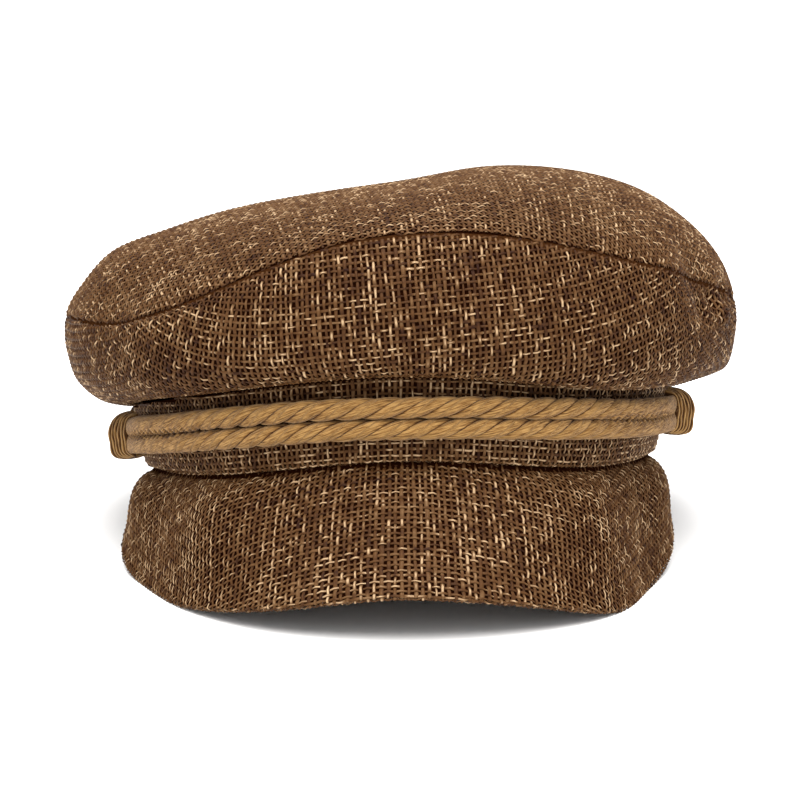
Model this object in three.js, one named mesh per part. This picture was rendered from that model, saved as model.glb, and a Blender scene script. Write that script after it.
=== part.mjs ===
// A Breton fisherman's cap of open straw cloth, standing on a table as it does by itself. Its weight is on the
// two low places of the peak and on the back of the head band, so the whole cap leans back.
// Millimetres, +Z up, and the cap faces -Y. The origin is the middle of its bounding box, at the table.
import * as THREE from "three";

// Head band
const bandWidth = 171; // outside, side to side, at the foot
const bandDepth = 206; // outside, front to back, at the foot
const bandHeight = 25.3;
const bandFlare = 5.6; // how far the band's top stands out past its foot
const bandWall = 2.6;

// Crown
const crownWidth = 223.5; // over the widest part of the roll, side to side
const crownDepth = 240; // the same, front to back
const crownForward = 2.5; // how far the crown sits forward of the band's middle
const crownRise = 75; // from the band's top edge to the highest point
const crownWall = 2;
const sideSeamAngle = 97; // degrees from the front, where the side's front and back panels are sewn

// Peak
const peakDepth = 48; // from the band to the edge, at the middle, along the cloth
const peakSpan = 80; // degrees from the middle of the band's front to each end
const peakWall = 3;
const peakBulge = 1.6; // how far the peak's face rounds out between band and edge
const peakTuck = 1.4; // how far the peak's sewn edge lies in under the band

// Rope across the front, doubled, and the loops that keep it
const ropeDiameter = 6.5;
const ropeSpacing = 7; // between the middles of its two runs
const ropeLay = 26; // length in which one strand goes once round
const ropeStrandDepth = 0.11; // how deep the grooves between strands go, as a share of the radius
const ropeEnd = 84; // degrees from the front to where the rope turns back
const keeperAngle = 78; // degrees from the front to each keeper's middle
const keeperWidth = 9;
const keeperThickness = 2.2;

const seamGap = 0.3; // between pieces that are sewn together
const restGive = 0.8; // how far the cloth flattens where it rests

const degrees = Math.PI / 180;
const up = new THREE.Vector3(0, 0, 1);

// Turns rows of numbers into an object with one list for each named column.
function table(names, rows) {
  const columns = names.trim().split(/\s+/);
  return Object.fromEntries(columns.map((name, c) => [name, rows.map((row) => row[c])]));
}

// A smooth curve through evenly spaced values. x counts values; a closed curve comes round again.
function smooth(values, x, closed = false) {
  const n = values.length;
  const k = closed ? Math.floor(x) : Math.min(Math.max(Math.floor(x), 0), n - 2);
  const value = (i) => (closed ? values[((i % n) + n) % n] : values[Math.min(Math.max(i, 0), n - 1)]);
  const [a, b, c, d] = [value(k - 1), value(k), value(k + 1), value(k + 2)];
  const t = x - k;
  return b + 0.5 * t * (c - a + t * (2 * a - 5 * b + 4 * c - d + t * (3 * (b - c) + d - a)));
}

// Heights at eight places round the cap: front, front right, right, and so on. Right is +X.
const places = ["f", "fr", "r", "br", "b", "bl", "l", "fl"];
function round(columns, row, angle) {
  const values = places.map((name) => columns[name][row]);
  return smooth(values, (angle / (2 * Math.PI)) * places.length, true);
}

// The band's foot and top lines, as shares of bandHeight. The cap sits a little askew, lower on its left.
const bandLines = table("f fr r br b bl l fl", [
  [0.05, 0.0, 0.25, 0.1, 0.0, 0.0, 0.06, -0.1],
  [1.11, 1.02, 1.12, 1.02, 0.98, 0.92, 0.82, 0.9],
]);
const bandLine = (line, angle) => bandHeight * round(bandLines, line, angle);

// Rings of the crown's side, from the band to the top seam. side, front and back say how far a ring stands
// out, from 0 at the band's top edge to 1 at the crown's full reach. The others are its heights over the
// band's top edge, as shares of crownRise.
const crownRings = table("side front back f fr r br b bl l fl", [
  [-0.12, -0.16, -0.12, 0.012, 0.012, 0.012, 0.012, 0.012, 0.012, 0.012, 0.012],
  [0.1, 0.1, 0.1, 0.004, 0.0, 0.008, 0.0, 0.0, 0.0, 0.008, 0.0],
  [0.5, 0.52, 0.5, -0.01, -0.02, 0.048, -0.01, -0.03, -0.02, 0.035, -0.005],
  [0.86, 0.85, 0.86, 0.08, 0.075, 0.075, 0.04, 0.05, 0.06, 0.125, 0.072],
  [1.0, 1.0, 1.0, 0.255, 0.235, 0.185, 0.17, 0.165, 0.19, 0.255, 0.21],
  [1.0, 0.9, 0.96, 0.43, 0.39, 0.3, 0.27, 0.26, 0.28, 0.35, 0.31],
  [0.985, 0.6, 0.8, 0.58, 0.503, 0.36, 0.34, 0.345, 0.365, 0.402, 0.333],
]);
const lastRing = crownRings.side.length - 1;
const crownSquareness = 2.15; // of the outline from above: 2 is an ellipse

// Dents in the crown's soft cloth: the angle from the front and the share up the side at which each one has its
// middle, then how far it spreads and how deep it goes, as shares of crownRise. A negative depth is a lump.
const dents = table("angle share spread depth", [
  [60, 1.0, 0.16, 0.048],
  [78, 0.84, 0.12, -0.021],
  [73, 0.3, 0.173, 0.022],
  [-57, 0.88, 0.213, 0.021],
  [-86, 0.93, 0.133, -0.016],
  [148, 0.9, 0.267, 0.027],
]);

// The crown's ridge between its two ends, from left to right as seen from the front, as shares of crownRise
// over the band. The values are 15 degrees apart round a half circle, so they stand closer towards the ends.
const ridge = [0.475, 0.642, 0.734, 0.826, 0.889, 0.943, 1.01, 0.999, 0.919, 0.766, 0.59];
const domePower = 2.3; // how flat the top panel stays before it falls to its seam
const domeRound = 1.25; // how round it falls there

const signed = (value, power) => Math.sign(value) * Math.abs(value) ** power;

// The outside of the band at an angle from the front, from share 0 at its foot to 1 at its top.
function bandPoint(angle, share) {
  const foot = bandLine(0, angle);
  const out = bandFlare * share;
  return new THREE.Vector3(
    (bandWidth / 2 + out) * Math.sin(angle),
    -(bandDepth / 2 + out) * Math.cos(angle),
    foot + (bandLine(1, angle) - foot) * share,
  );
}

// How far a ring at this place up the crown's side stands out from the middle: right or left, front and back.
function crownReach(row) {
  const between = (share, inner, outer) => inner + share * (outer - inner);
  const bandSide = bandWidth / 2 + bandFlare;
  const bandEnd = bandDepth / 2 + bandFlare;
  return {
    side: between(smooth(crownRings.side, row), bandSide, crownWidth / 2),
    front: between(smooth(crownRings.front, row), bandEnd, crownDepth / 2 + crownForward),
    back: between(smooth(crownRings.back, row), bandEnd, crownDepth / 2 - crownForward),
  };
}

// The crown's side panels before any dent, from share 0 at the band to 1 at the top seam.
function plainSidePoint(angle, share) {
  const row = share * lastRing;
  const reach = crownReach(row);
  const squareness = 2 + (crownSquareness - 2) * share;
  const along = Math.cos(angle);
  const heights = crownRings.side.map((_, ring) => round(crownRings, ring, angle));
  return new THREE.Vector3(
    reach.side * signed(Math.sin(angle), 2 / squareness),
    -(along > 0 ? reach.front : reach.back) * signed(along, 2 / squareness),
    bandLine(1, angle) + seamGap + crownRise * smooth(heights, row),
  );
}

// The top panel before any dent. share is 0 at its middle and 1 at the seam.
function plainTopPoint(angle, share) {
  const edge = plainSidePoint(angle, 1);
  const reach = crownReach(lastRing);
  const x = edge.x * share;
  const y = edge.y * share;
  const across = Math.min(Math.abs(x) / reach.side, 1);
  const sine = across ** (crownSquareness / 2);
  const seamAngle = Math.atan2(Math.sign(x) * sine, Math.sqrt(1 - sine * sine) * (y > 0 ? -1 : 1));
  const seam = plainSidePoint(seamAngle, 1);
  const turn = Math.asin(Math.max(-1, Math.min(1, x / reach.side)));
  const ends = [-1, 1].map((way) => plainSidePoint((way * Math.PI) / 2, 1).z);
  const heights = [ends[0], ...ridge.map((value) => bandHeight + crownRise * value), ends[1]];
  const top = smooth(heights, (turn / Math.PI + 0.5) * (heights.length - 1));
  const toSeam = Math.min(Math.abs(y) / Math.max(Math.abs(seam.y), 1e-6), 1);
  const fullness = (1 - toSeam ** domePower) ** (1 / domeRound);
  return new THREE.Vector3(x, y, seam.z + (top - seam.z) * fullness);
}

const dentList = dents.angle.map((angle, k) => {
  const at = [angle * degrees, Math.min(dents.share[k], 0.999)];
  const inward = normalOf(plainSidePoint, ...at).negate();
  const [spread, depth] = [crownRise * dents.spread[k], crownRise * dents.depth[k]];
  return { middle: plainSidePoint(...at), inward, spread, depth };
});

// Moves a point of the crown's cloth with the dents near it.
function dented(point) {
  const plain = point.clone();
  for (const { middle, inward, spread, depth } of dentList) {
    point.addScaledVector(inward, depth * Math.exp(-((plain.distanceTo(middle) / spread) ** 2)));
  }
  return point;
}

// The crown's outside as it lies, dents and all.
const crownSidePoint = (angle, share) => dented(plainSidePoint(angle, share));
const crownTopPoint = (angle, share) => dented(plainTopPoint(angle, share));

// The peak's upper face: u runs from -1 at its left end to 1 at its right, w from the band to the edge.
// slope is the fall below the band's foot line, in degrees, and depth and bulge are shares of peakDepth and
// peakBulge.
const peakRows = table("depth slope bulge", [
  [1.0, 63, 6.0],
  [0.9, 71, 1.6],
  [0.94, 67, 2.8],
  [1.0, 61, 1.0],
  [1.01, 56, 1.0],
  [1.01, 60, 1.0],
  [1.025, 66, 2.8],
  [0.967, 75, 1.6],
  [1.0, 68, 6.0],
]);
const peakEndPower = 4.2; // how square the peak's two front corners are
const peakLeast = 0.15; // its depth at the very ends, as a share

function peakPoint(u, w) {
  const angle = u * peakSpan * degrees;
  const row = ((u + 1) / 2) * (peakRows.depth.length - 1);
  const foot = bandPoint(angle, 0);
  const outward = new THREE.Vector3(
    Math.sin(angle) / (bandWidth / 2),
    -Math.cos(angle) / (bandDepth / 2),
    0,
  ).normalize();
  const corner = Math.sqrt(1 - Math.abs(u) ** peakEndPower);
  const depth = peakDepth * (peakLeast + (1 - peakLeast) * corner) * smooth(peakRows.depth, row);
  const slope = smooth(peakRows.slope, row) * degrees;
  const bulge = peakBulge * corner * smooth(peakRows.bulge, row);
  const fall = outward.clone().multiplyScalar(Math.cos(slope)).addScaledVector(up, -Math.sin(slope));
  const face = outward.clone().multiplyScalar(Math.sin(slope)).addScaledVector(up, Math.cos(slope));
  return foot
    .addScaledVector(outward, -peakTuck)
    .addScaledVector(up, -seamGap)
    .addScaledVector(fall, depth * w)
    .addScaledVector(face, bulge * 6.75 * w * (1 - w) ** 2);
}

// The outward normal of a surface that is given as a function of two shares.
function normalOf(surface, a, b) {
  const step = 1e-3;
  const alongA = surface(a + step, b).sub(surface(a - step, b));
  const low = Math.max(b - step, 0);
  const high = Math.min(b + step, 1);
  const alongB = surface(a, high).sub(surface(a, low));
  return alongA.cross(alongB).normalize();
}

// A closed solid from a grid of outer points and one of inner points, both indexed [across][up].
function wall(outer, inner, goesRound) {
  const across = outer.length;
  const rows = outer[0].length;
  const points = [...outer.flat(), ...inner.flat()];
  const at = (layer, i, j) => layer * across * rows + (i % across) * rows + j;
  const faces = [];
  const quad = (a, b, c, d) => faces.push(a, b, c, a, c, d);
  const spans = goesRound ? across : across - 1;
  for (let i = 0; i < spans; i++) {
    for (let j = 0; j < rows - 1; j++) {
      quad(at(0, i, j), at(0, i + 1, j), at(0, i + 1, j + 1), at(0, i, j + 1));
      quad(at(1, i, j), at(1, i, j + 1), at(1, i + 1, j + 1), at(1, i + 1, j));
    }
    quad(at(0, i, 0), at(1, i, 0), at(1, i + 1, 0), at(0, i + 1, 0));
    quad(at(0, i, rows - 1), at(0, i + 1, rows - 1), at(1, i + 1, rows - 1), at(1, i, rows - 1));
  }
  if (!goesRound) {
    for (let j = 0; j < rows - 1; j++) {
      quad(at(0, 0, j), at(0, 0, j + 1), at(1, 0, j + 1), at(1, 0, j));
      quad(at(0, spans, j), at(1, spans, j), at(1, spans, j + 1), at(0, spans, j + 1));
    }
  }
  return solid(points, faces);
}

// Makes a geometry of points and faces, turned so that its faces point out.
function solid(points, faces) {
  let volume = 0;
  for (let f = 0; f < faces.length; f += 3) {
    const [a, b, c] = [points[faces[f]], points[faces[f + 1]], points[faces[f + 2]]];
    volume += a.dot(b.clone().cross(c));
  }
  const turned = volume < 0 ? faces.slice().reverse() : faces;
  const geometry = new THREE.BufferGeometry().setFromPoints(points);
  geometry.setIndex(turned);
  return geometry;
}

// The grid of points of a surface, and the same grid moved in along its normals.
function layers(surface, angles, shares, thickness) {
  const grid = (depth) =>
    angles.map((a) => shares.map((b) => surface(a, b).addScaledVector(normalOf(surface, a, b), -depth)));
  return [grid(0), grid(thickness)];
}

const evenly = (from, to, steps) => Array.from({ length: steps + 1 }, (_, k) => from + ((to - from) * k) / steps);

function bandGeometry() {
  const angles = evenly(0, 2 * Math.PI, 64).slice(0, -1);
  const [outer, inner] = layers(bandPoint, angles, evenly(0, 1, 3), bandWall);
  inner.forEach((column, i) => {
    column.forEach((point, j) => (point.z = outer[i][j].z));
  });
  return wall(outer, inner, true);
}

// One panel of the crown's side between two angles, which stops short of its neighbours by the seam gap.
function crownSideGeometry(from, to, steps) {
  const clear = seamGap / 2 / (crownWidth / 2);
  const angles = evenly(from + clear, to - clear, steps);
  return wall(...layers(crownSidePoint, angles, evenly(0, 1, 11), crownWall), false);
}

function crownTopGeometry() {
  const angles = evenly(0, 2 * Math.PI, 48).slice(0, -1);
  const shares = [0.14, 0.3, 0.46, 0.6, 0.72, 0.82, 0.9, 0.96, 1];
  const outer = angles.map((a) => shares.map((s) => crownTopPoint(a, s)));
  const inner = angles.map((a) =>
    shares.map((s) => {
      const surface = s < 1 ? crownTopPoint : crownSidePoint;
      return surface(a, s).addScaledVector(normalOf(surface, a, s), s < 1 ? crownWall : -crownWall);
    }),
  );
  for (const column of [...outer, ...inner]) for (const point of column) point.addScaledVector(up, seamGap);
  return cap(outer, inner);
}

// A closed disc from a grid of outer and inner points round a middle, indexed [angle][ring].
function cap(outer, inner) {
  const across = outer.length;
  const rows = outer[0].length;
  const middle = (grid) => grid.reduce((sum, column) => sum.add(column[0]), new THREE.Vector3()).divideScalar(across);
  const points = [...outer.flat(), ...inner.flat(), middle(outer), middle(inner)];
  const at = (layer, i, j) => layer * across * rows + (i % across) * rows + j;
  const faces = [];
  const quad = (a, b, c, d) => faces.push(a, b, c, a, c, d);
  for (let i = 0; i < across; i++) {
    for (let j = 0; j < rows - 1; j++) {
      quad(at(0, i, j), at(0, i + 1, j), at(0, i + 1, j + 1), at(0, i, j + 1));
      quad(at(1, i, j), at(1, i, j + 1), at(1, i + 1, j + 1), at(1, i + 1, j));
    }
    quad(at(0, i, rows - 1), at(0, i + 1, rows - 1), at(1, i + 1, rows - 1), at(1, i, rows - 1));
    faces.push(points.length - 2, at(0, i + 1, 0), at(0, i, 0));
    faces.push(points.length - 1, at(1, i, 0), at(1, i + 1, 0));
  }
  return solid(points, faces);
}

// The peak's under face, which comes up to half the wall at the edge.
function peakUnder(u, w) {
  const surface = (a, b) => peakPoint(Math.max(-1, Math.min(1, a)), b);
  return surface(u, w).addScaledVector(normalOf(surface, u, w), peakWall * (w < 1 ? 1 : 0.5));
}

function peakGeometry() {
  const us = evenly(-1, 1, 36).map((k) => Math.sin((k * Math.PI) / 2));
  const ws = [0, 0.2, 0.45, 0.7, 0.9, 1];
  const grid = (surface) => us.map((u) => ws.map((w) => surface(u, w)));
  return wall(grid(peakPoint), grid(peakUnder), false);
}

// The middle line between the rope's two runs, as heights over the band's foot in shares of bandHeight.
const ropeMiddle = [0.43, 0.52, 0.6, 0.6, 0.57, 0.61, 0.65, 0.61, 0.57];
function ropeHeight(angle) {
  const end = ropeEnd * degrees;
  const row = ((Math.max(-end, Math.min(end, angle)) / end + 1) / 2) * (ropeMiddle.length - 1);
  return bandHeight * smooth(ropeMiddle, row);
}

// A point off the band's outside, at a height over its foot and a distance out from its cloth.
function offBand(angle, height, distance) {
  const span = bandLine(1, angle) - bandLine(0, angle);
  const surface = bandPoint(angle, height / span);
  return surface.addScaledVector(normalOf(bandPoint, angle, 0.5), distance);
}

// The rope's closed route: along the front, round one end, back, and round the other.
function ropeRoute() {
  const away = ropeDiameter / 2 + seamGap;
  const half = ropeSpacing / 2;
  const end = ropeEnd * degrees;
  const points = [];
  const runSteps = 40;
  const turnSteps = 6;
  const radius = bandWidth / 2 + bandFlare;
  for (const way of [1, -1]) {
    for (let k = 0; k <= runSteps; k++) {
      const angle = way * end * (-1 + (2 * k) / runSteps);
      points.push(offBand(angle, ropeHeight(angle) + way * half, away));
    }
    for (let k = 1; k < turnSteps; k++) {
      const turn = (Math.PI * k) / turnSteps;
      const angle = way * (end + (half * Math.sin(turn)) / radius);
      points.push(offBand(angle, ropeHeight(angle) + way * half * Math.cos(turn), away));
    }
  }
  return new THREE.CatmullRomCurve3(points, true);
}

// A laid rope in one closed ring: a section of three lobes, whose corners run along the strands.
function ropeGeometry() {
  const route = ropeRoute();
  const lobes = 3;
  const strandTurns = Math.round((route.getLength() / ropeLay) * lobes);
  const steps = strandTurns * 3;
  const sides = 9;
  const points = [];
  const faces = [];
  for (let k = 0; k < steps; k++) {
    const middle = route.getPointAt(k / steps);
    const tangent = route.getTangentAt(k / steps);
    const radial = new THREE.Vector3(middle.x / bandWidth ** 2, middle.y / bandDepth ** 2, 0).normalize();
    const out = radial.addScaledVector(tangent, -radial.dot(tangent)).normalize();
    const beside = tangent.clone().cross(out);
    const twist = (2 * Math.PI * strandTurns * k) / steps / lobes;
    for (let s = 0; s < sides; s++) {
      const phase = (2 * Math.PI * s) / sides;
      const turn = phase - twist;
      const radius = (ropeDiameter / 2) * (1 - ropeStrandDepth * (1 - Math.cos(lobes * phase)));
      points.push(
        middle
          .clone()
          .addScaledVector(out, radius * Math.cos(turn))
          .addScaledVector(beside, radius * Math.sin(turn)),
      );
    }
  }
  // Where the ring closes, each strand meets the one that lies some strands further round.
  const shift = (strandTurns % lobes) * (sides / lobes);
  const at = (k, s) => (k % steps) * sides + ((s + (k < steps ? 0 : sides - shift)) % sides);
  for (let k = 0; k < steps; k++) {
    for (let s = 0; s < sides; s++) {
      faces.push(at(k, s), at(k + 1, s), at(k + 1, s + 1), at(k, s), at(k + 1, s + 1), at(k, s + 1));
    }
  }
  return solid(points, faces);
}

// A keeper: a flat bundle of yarn that goes over both runs of the rope, from the band to the band.
function keeperGeometry(side) {
  const angle = side * keeperAngle * degrees;
  const steps = 18;
  const halfThick = keeperThickness / 2;
  const high = (ropeSpacing + ropeDiameter) / 2 + seamGap + halfThick;
  const out = ropeDiameter + 2 * seamGap + halfThick;
  const boxiness = 2 / 4.2;
  const around = (k, extra, along) => {
    const turn = (Math.PI * k) / steps;
    const distance = seamGap + (out - seamGap + extra) * signed(Math.sin(turn), boxiness);
    const height = ropeHeight(angle) + (high + extra) * signed(Math.cos(turn), boxiness);
    const place = angle + along / (bandWidth / 2 + bandFlare);
    return offBand(place, height, distance);
  };
  const widths = [-0.5, -0.3, 0, 0.3, 0.5];
  const crown = [0.35, 0.85, 1, 0.85, 0.35];
  const grid = (side) =>
    evenly(0, steps, steps).map((k) => widths.map((w, j) => around(k, side * halfThick * crown[j], w * keeperWidth)));
  return wall(grid(1), grid(-1), false);
}

const straw = new THREE.MeshStandardMaterial({ color: 0x6b4a33, roughness: 0.75, metalness: 0 });
const cotton = new THREE.MeshStandardMaterial({ color: 0xb98c55, roughness: 0.9, metalness: 0 });

function piece(name, geometry, material) {
  const mesh = new THREE.Mesh(geometry, material);
  mesh.name = name;
  return mesh;
}

const seam = sideSeamAngle * degrees;
const pieces = [
  piece("head_band", bandGeometry(), straw),
  piece("crown_side_front", crownSideGeometry(-seam, seam, 34), straw),
  piece("crown_side_back", crownSideGeometry(seam, 2 * Math.PI - seam, 28), straw),
  piece("crown_top", crownTopGeometry(), straw),
  piece("peak", peakGeometry(), straw),
  piece("rope", ropeGeometry(), cotton),
  piece("keeper_left", keeperGeometry(-1), cotton),
  piece("keeper_right", keeperGeometry(1), cotton),
];

// The lean at which the peak's low places and the back of the band's foot are level.
function restLean() {
  const foot = bandPoint(Math.PI, 0);
  const edge = evenly(-1, 1, 200).map((u) => peakUnder(u, 1));
  return Math.max(...edge.map((point) => Math.atan2(foot.z - point.z, foot.y - point.y)));
}

// Leans the cap back, sets it down and lets the cloth give where it touches.
const lean = new THREE.Matrix4().makeRotationX(-restLean());
for (const mesh of pieces) mesh.geometry.applyMatrix4(lean);
const box = new THREE.Box3();
for (const mesh of pieces) box.union(mesh.geometry.computeBoundingBox() ?? mesh.geometry.boundingBox);
const middle = box.getCenter(new THREE.Vector3());
for (const mesh of pieces) {
  mesh.geometry.translate(-middle.x, -middle.y, -box.min.z - restGive);
  const position = mesh.geometry.getAttribute("position");
  for (let k = 0; k < position.count; k++) position.setZ(k, Math.max(position.getZ(k), 0));
}

const assembly = new THREE.Group();
assembly.add(...pieces);
export default assembly;
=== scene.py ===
"""Dresses the fisherman's cap: woven straw cloth, laid rope, keepers and lining, on a white table."""

import math
from functools import partial

import bpy
import numpy as np
from mathutils import Matrix, Vector

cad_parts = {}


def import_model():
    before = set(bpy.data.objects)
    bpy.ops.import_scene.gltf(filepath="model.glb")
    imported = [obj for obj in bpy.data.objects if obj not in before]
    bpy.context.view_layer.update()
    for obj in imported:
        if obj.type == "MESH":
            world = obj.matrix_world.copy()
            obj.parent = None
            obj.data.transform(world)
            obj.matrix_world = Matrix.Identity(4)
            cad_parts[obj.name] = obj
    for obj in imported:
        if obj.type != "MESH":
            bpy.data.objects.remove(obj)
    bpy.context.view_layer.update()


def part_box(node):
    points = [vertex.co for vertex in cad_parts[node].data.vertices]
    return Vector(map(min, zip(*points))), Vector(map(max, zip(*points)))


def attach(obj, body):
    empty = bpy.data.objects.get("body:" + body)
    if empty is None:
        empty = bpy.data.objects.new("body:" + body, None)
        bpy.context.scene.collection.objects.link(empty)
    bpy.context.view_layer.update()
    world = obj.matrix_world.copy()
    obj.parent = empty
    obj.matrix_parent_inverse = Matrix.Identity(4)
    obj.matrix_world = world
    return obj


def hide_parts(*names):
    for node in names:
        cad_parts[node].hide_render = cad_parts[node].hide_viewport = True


MM = 0.001
STEP = 1e-3  # slopes are taken over it
UP = np.array([0, 0, 1.0])

# The cap's sizes in millimetres and its angles.
BAND_WIDTH = 171
BAND_DEPTH = 206
BAND_HEIGHT = 25.3
BAND_FLARE = 5.6
BAND_WALL = 2.6
CROWN_WIDTH = 223.5
CROWN_DEPTH = 240
CROWN_FORWARD = 2.5
CROWN_RISE = 75
CROWN_WALL = 2
CROWN_SQUARENESS = 2.15
DOME_POWER = 2.3
DOME_ROUND = 1.25
SIDE_SEAM = math.radians(97)
PEAK_DEPTH = 48
PEAK_SPAN = math.radians(80)
PEAK_WALL = 3
PEAK_BULGE = 1.6
PEAK_TUCK = 1.4
PEAK_END_POWER = 4.2
PEAK_LEAST = 0.15
ROPE_DIAMETER = 6.5
ROPE_SPACING = 7
ROPE_LAY = 26
ROPE_END = math.radians(84)
KEEPER_ANGLE = math.radians(78)
KEEPER_WIDTH = 9
SEAM_GAP = 0.3

# The band's foot and top, as shares of its height: front, front right, right and so on.
BAND_LINES = np.array([
    [0.05, 0.0, 0.25, 0.1, 0.0, 0.0, 0.06, -0.1],
    [1.11, 1.02, 1.12, 1.02, 0.98, 0.92, 0.82, 0.9],
])
# Rings of the crown's side: reach at the side, front and back, then heights round the cap.
CROWN_RINGS = np.array([
    [-0.12, -0.16, -0.12, 0.012, 0.012, 0.012, 0.012, 0.012, 0.012, 0.012, 0.012],
    [0.1, 0.1, 0.1, 0.004, 0.0, 0.008, 0.0, 0.0, 0.0, 0.008, 0.0],
    [0.5, 0.52, 0.5, -0.01, -0.02, 0.048, -0.01, -0.03, -0.02, 0.035, -0.005],
    [0.86, 0.85, 0.86, 0.08, 0.075, 0.075, 0.04, 0.05, 0.06, 0.125, 0.072],
    [1.0, 1.0, 1.0, 0.255, 0.235, 0.185, 0.17, 0.165, 0.19, 0.255, 0.21],
    [1.0, 0.9, 0.96, 0.43, 0.39, 0.3, 0.27, 0.26, 0.28, 0.35, 0.31],
    [0.985, 0.6, 0.8, 0.58, 0.503, 0.36, 0.34, 0.345, 0.365, 0.402, 0.333],
])
# Dents: angle, share up the side, spread and depth as shares of the crown's rise.
DENTS = [
    [60, 1.0, 0.16, 0.048],
    [78, 0.84, 0.12, -0.021],
    [73, 0.3, 0.173, 0.022],
    [-57, 0.88, 0.213, 0.021],
    [-86, 0.93, 0.133, -0.016],
    [148, 0.9, 0.267, 0.027],
]
# Small wrinkles of the cloth alone at the crown's right end, in the same columns.
WRINKLES = [
    [61.5, 0.8, 0.055, 0.022],
    [66, 0.88, 0.05, 0.026],
    [71, 0.95, 0.055, 0.026],
    [77, 0.99, 0.06, 0.026],
    [70, 0.8, 0.06, -0.03],
]
# Heights of the crown's ridge from its left end to its right, as shares of the crown's rise.
RIDGE = [0.475, 0.642, 0.734, 0.826, 0.889, 0.943, 1.01, 0.999, 0.919, 0.766, 0.59]
# The peak's depth as a share, slope in degrees and bulge as a share, from its left end to its right.
PEAK_ROWS = np.array([
    [1.0, 63, 6.0],
    [0.9, 71, 1.6],
    [0.94, 67, 2.8],
    [1.0, 61, 1.0],
    [1.01, 56, 1.0],
    [1.01, 60, 1.0],
    [1.025, 66, 2.8],
    [0.967, 75, 1.6],
    [1.0, 68, 6.0],
])
# Heights of the rope's middle line from its left end to its right, as shares of the band's height.
ROPE_MIDDLE = [0.43, 0.52, 0.6, 0.6, 0.57, 0.61, 0.65, 0.61, 0.57]


def bent(a, b, c, d, t):
    """The value of a smooth curve at t of the way from b to c. a and d are its values before and after."""
    return b + 0.5 * t * (c - a + t * (2 * a - 5 * b + 4 * c - d + t * (3 * (b - c) + d - a)))


def mix(a, b, share):
    return a * (1 - share) + b * share


def eased(t):
    """A share from 0 to 1 with a soft start and end."""
    return t * t * (3 - 2 * t)


def smooth(values, x, closed=False):
    """A smooth curve through evenly spaced values, at x, which counts values."""
    values = np.asarray(values, float)
    x = np.asarray(x, float)
    n = len(values)
    k = np.floor(x).astype(int)
    if not closed:
        k = k.clip(0, n - 2)
    near = (values[(k + i) % n if closed else (k + i).clip(0, n - 1)] for i in (-1, 0, 1, 2))
    return bent(*near, x - k)


def around(values, angle):
    return smooth(values, angle / math.tau * len(values), closed=True)


def signed(value, power):
    return np.sign(value) * np.abs(value) ** power


def vectors(x, y, z):
    return np.stack(np.broadcast_arrays(x, y, z), -1)


def unit(v):
    return v / np.maximum(np.linalg.norm(v, axis=-1, keepdims=True), 1e-12)


def band_line(line, angle):
    return BAND_HEIGHT * around(BAND_LINES[line], angle)


def band_point(angle, share):
    foot = band_line(0, angle)
    out = BAND_FLARE * share
    return vectors(
        (BAND_WIDTH / 2 + out) * np.sin(angle),
        -(BAND_DEPTH / 2 + out) * np.cos(angle),
        foot + (band_line(1, angle) - foot) * share,
    )


def crown_reach(row):
    side = BAND_WIDTH / 2 + BAND_FLARE
    end = BAND_DEPTH / 2 + BAND_FLARE
    pairs = [
        (side, CROWN_WIDTH / 2),
        (end, CROWN_DEPTH / 2 + CROWN_FORWARD),
        (end, CROWN_DEPTH / 2 - CROWN_FORWARD),
    ]
    return [
        inner + smooth(CROWN_RINGS[:, k], row) * (outer - inner)
        for k, (inner, outer) in enumerate(pairs)
    ]


def plain_side_point(angle, share):
    angle, share = np.broadcast_arrays(angle, share)
    row = share * (len(CROWN_RINGS) - 1)
    side, front, back = crown_reach(row)
    power = 2 / (2 + (CROWN_SQUARENESS - 2) * share)
    along = np.cos(angle)
    # Heights of each ring at each angle, then between the rings.
    rings = np.stack([around(ring[3:], angle) for ring in CROWN_RINGS])
    n = len(rings)
    k = np.floor(row).astype(int).clip(0, n - 2)
    near = (np.take_along_axis(rings, (k + i).clip(0, n - 1)[None], 0)[0] for i in (-1, 0, 1, 2))
    height = bent(*near, row - k)
    return vectors(
        side * signed(np.sin(angle), power),
        -np.where(along > 0, front, back) * signed(along, power),
        band_line(1, angle) + SEAM_GAP + CROWN_RISE * height,
    )


def plain_top_point(angle, share):
    angle, share = np.broadcast_arrays(angle, share)
    edge = plain_side_point(angle, np.ones_like(share))
    side = float(crown_reach(np.array(len(CROWN_RINGS) - 1.0))[0])
    x = edge[..., 0] * share
    y = edge[..., 1] * share
    sine = np.minimum(np.abs(x) / side, 1) ** (CROWN_SQUARENESS / 2)
    cosine = np.sqrt(1 - sine * sine)
    seam_angle = np.arctan2(np.sign(x) * sine, np.where(y > 0, -1, 1) * cosine)
    seam = plain_side_point(seam_angle, np.ones_like(share))
    turn = np.arcsin((x / side).clip(-1, 1))
    ends = [float(plain_side_point(np.array(way * math.pi / 2), np.array(1.0))[2]) for way in (-1, 1)]
    heights = [ends[0]] + [BAND_HEIGHT + CROWN_RISE * v for v in RIDGE] + [ends[1]]
    top = smooth(heights, (turn / math.pi + 0.5) * (len(heights) - 1))
    to_seam = np.minimum(np.abs(y) / np.maximum(np.abs(seam[..., 1]), 1e-6), 1)
    fullness = (1 - to_seam**DOME_POWER) ** (1 / DOME_ROUND)
    return vectors(x, y, seam[..., 2] + (top - seam[..., 2]) * fullness)


def normal_of(surface, a, b):
    a, b = np.broadcast_arrays(np.asarray(a, float), np.asarray(b, float))
    along_a = surface(a + STEP, b) - surface(a - STEP, b)
    along_b = surface(a, np.minimum(b + STEP, 1)) - surface(a, np.maximum(b - STEP, 0))
    return unit(np.cross(along_a, along_b))


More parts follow.
